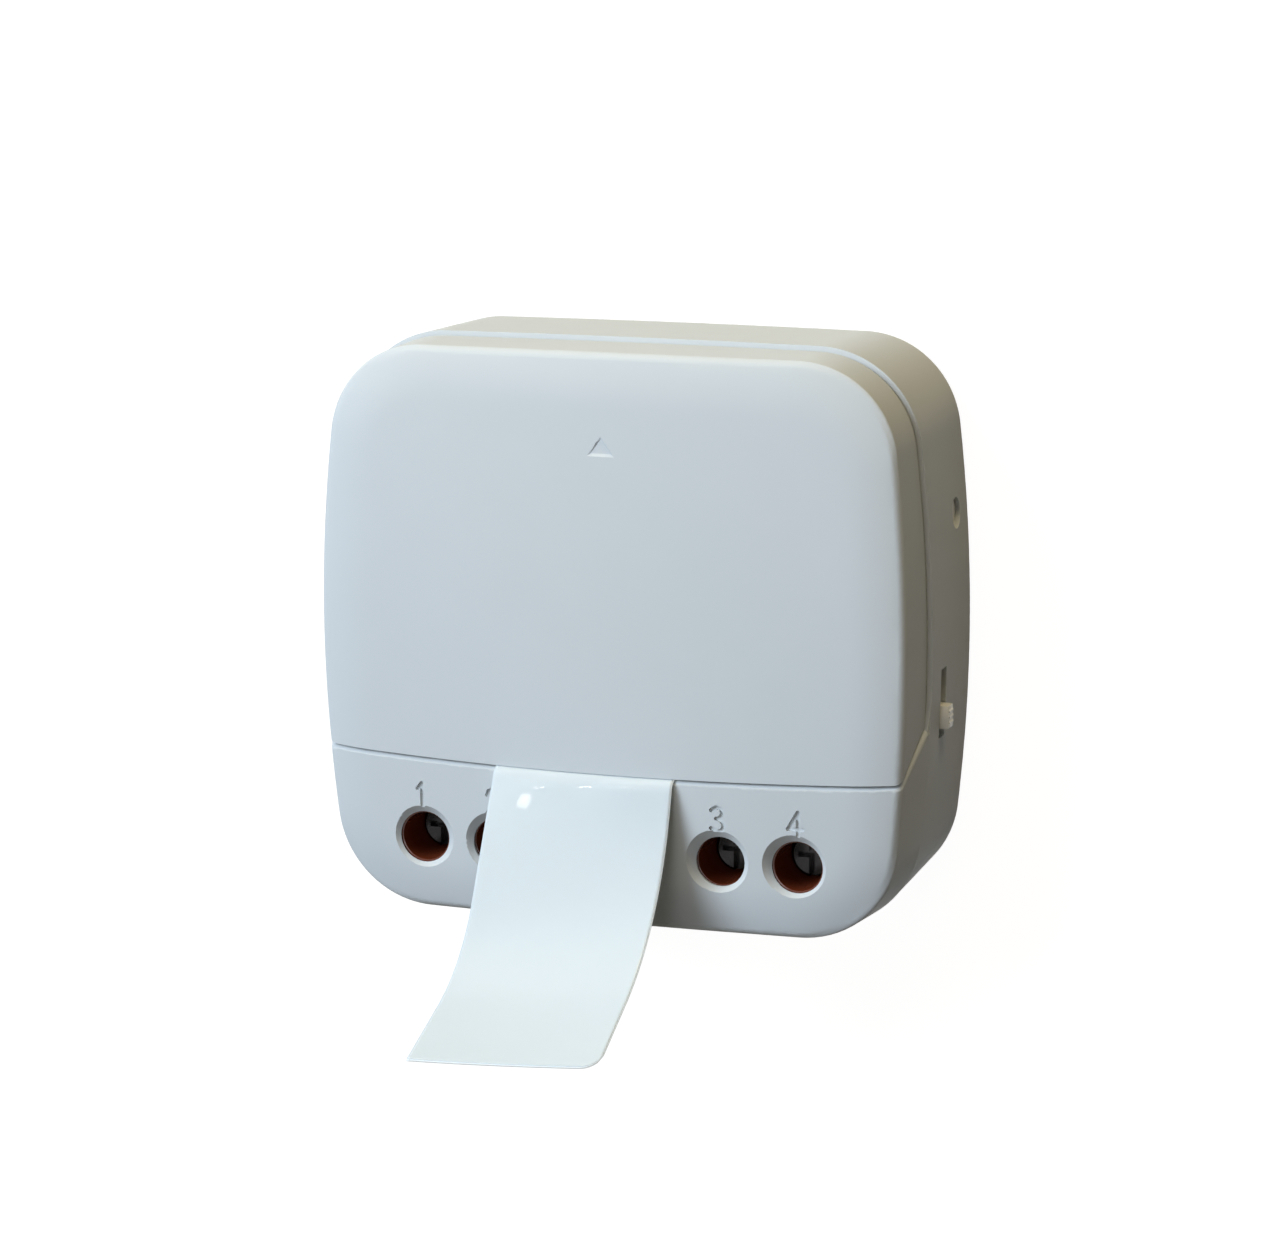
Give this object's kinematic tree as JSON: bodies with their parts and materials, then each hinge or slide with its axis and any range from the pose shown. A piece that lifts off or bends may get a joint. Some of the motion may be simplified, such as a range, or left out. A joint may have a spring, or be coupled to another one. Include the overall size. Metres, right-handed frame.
{
  "type": "smart switch remote module",
  "caption": "Battery-powered wireless switch-input module: rounded case, slide-off cover, screw terminals, mode switch, pairing button and battery pull tab.",
  "frame": {"origin": "centre of the flat back face; the module lies on its back", "axes": "+X to the right and +Y up as the front is read, +Z out of the domed front"},
  "size_m": [0.0398, 0.0417, 0.0314],
  "materials": {
    "case_white": "fine satin",
    "board_green": "solder mask",
    "cell_steel": "bright satin",
    "seal_black": "matt",
    "spring_contact": "nickel plated",
    "tab_film": "glossy milky film",
    "terminal_orange": "satin",
    "switch_black": "matt",
    "switch_sheet": "tinned",
    "knob_ivory": "satin",
    "chip_black": "matt",
    "antenna_ceramic": "matt",
    "led_clear": "clear",
    "capacitor_tan": "matt",
    "screw_steel": "zinc plated",
    "cage_steel": "nickel plated",
    "bar_brass": "tinned brass"
  },
  "bodies": {
    "module": {"housing": "case_white", "back_plate": "case_white", "circuit_board": "board_green", "cell_can": "cell_steel", "cell_seal": "seal_black", "cell_cap": "cell_steel", "negative_contact": "spring_contact", "positive_contact": "spring_contact", "pull_tab": "tab_film", "terminal_block_left": "terminal_orange", "terminal_block_right": "terminal_orange", "mode_switch_body": "switch_black", "mode_switch_shell": "switch_sheet", "pair_switch_body": "switch_black", "radio_shield": "switch_sheet", "radio_chip": "chip_black", "crystal": "switch_sheet", "chip_antenna": "antenna_ceramic", "status_led": "led_clear", "capacitors": "capacitor_tan", "resistors": "chip_black", "contact_bar_1": "bar_brass", "contact_bar_2": "bar_brass", "contact_bar_3": "bar_brass", "contact_bar_4": "bar_brass"},
    "cover": {"battery_cover": "case_white"},
    "mode_knob": {"mode_switch_knob": "knob_ivory"},
    "pair_key": {"pair_button": "knob_ivory", "pair_switch_plunger": "switch_black"},
    "screw_1": {"terminal_screw_1": "screw_steel"},
    "cage_1": {"clamp_cage_1": "cage_steel"},
    "screw_2": {"terminal_screw_2": "screw_steel"},
    "cage_2": {"clamp_cage_2": "cage_steel"},
    "screw_3": {"terminal_screw_3": "screw_steel"},
    "cage_3": {"clamp_cage_3": "cage_steel"},
    "screw_4": {"terminal_screw_4": "screw_steel"},
    "cage_4": {"clamp_cage_4": "cage_steel"}
  },
  "joints": [
    {"name": "cover_slide", "type": "slide", "parent": "module", "child": "cover", "axis": [0, 1, 0], "range_m": [0, 0.021]},
    {"name": "mode_slide", "type": "slide", "parent": "module", "child": "mode_knob", "axis": [0, 1, 0], "range_m": [0, 0.002]},
    {"name": "pair_push", "type": "slide", "parent": "module", "child": "pair_key", "axis": [-1, 0, 0], "range_m": [0, 0.00025], "stiffness_N_per_m": 400, "springref_m": -0.0001},
    {"name": "screw_turn_1", "type": "hinge", "parent": "module", "child": "screw_1", "pos_m": [-0.0125, -0.0135, 0.0112], "axis": [0, 0, -1], "range_deg": [0, 480.1]},
    {"name": "cage_lift_1", "type": "slide", "parent": "module", "child": "cage_1", "axis": [0, 0, 1], "range_m": [0, 0.0006]},
    {"name": "screw_turn_2", "type": "hinge", "parent": "module", "child": "screw_2", "pos_m": [-0.0075, -0.0135, 0.0112], "axis": [0, 0, -1], "range_deg": [0, 480.1]},
    {"name": "cage_lift_2", "type": "slide", "parent": "module", "child": "cage_2", "axis": [0, 0, 1], "range_m": [0, 0.0006]},
    {"name": "screw_turn_3", "type": "hinge", "parent": "module", "child": "screw_3", "pos_m": [0.0075, -0.0135, 0.0112], "axis": [0, 0, -1], "range_deg": [0, 480.1]},
    {"name": "cage_lift_3", "type": "slide", "parent": "module", "child": "cage_3", "axis": [0, 0, 1], "range_m": [0, 0.0006]},
    {"name": "screw_turn_4", "type": "hinge", "parent": "module", "child": "screw_4", "pos_m": [0.0125, -0.0135, 0.0112], "axis": [0, 0, -1], "range_deg": [0, 480.1]},
    {"name": "cage_lift_4", "type": "slide", "parent": "module", "child": "cage_4", "axis": [0, 0, 1], "range_m": [0, 0.0006]}
  ],
  "couplings": [
    {"joint": "screw_turn_1", "follows": "cage_lift_1", "rad_per_m": 13963},
    {"joint": "screw_turn_2", "follows": "cage_lift_2", "rad_per_m": 13963},
    {"joint": "screw_turn_3", "follows": "cage_lift_3", "rad_per_m": 13963},
    {"joint": "screw_turn_4", "follows": "cage_lift_4", "rad_per_m": 13963}
  ]
}
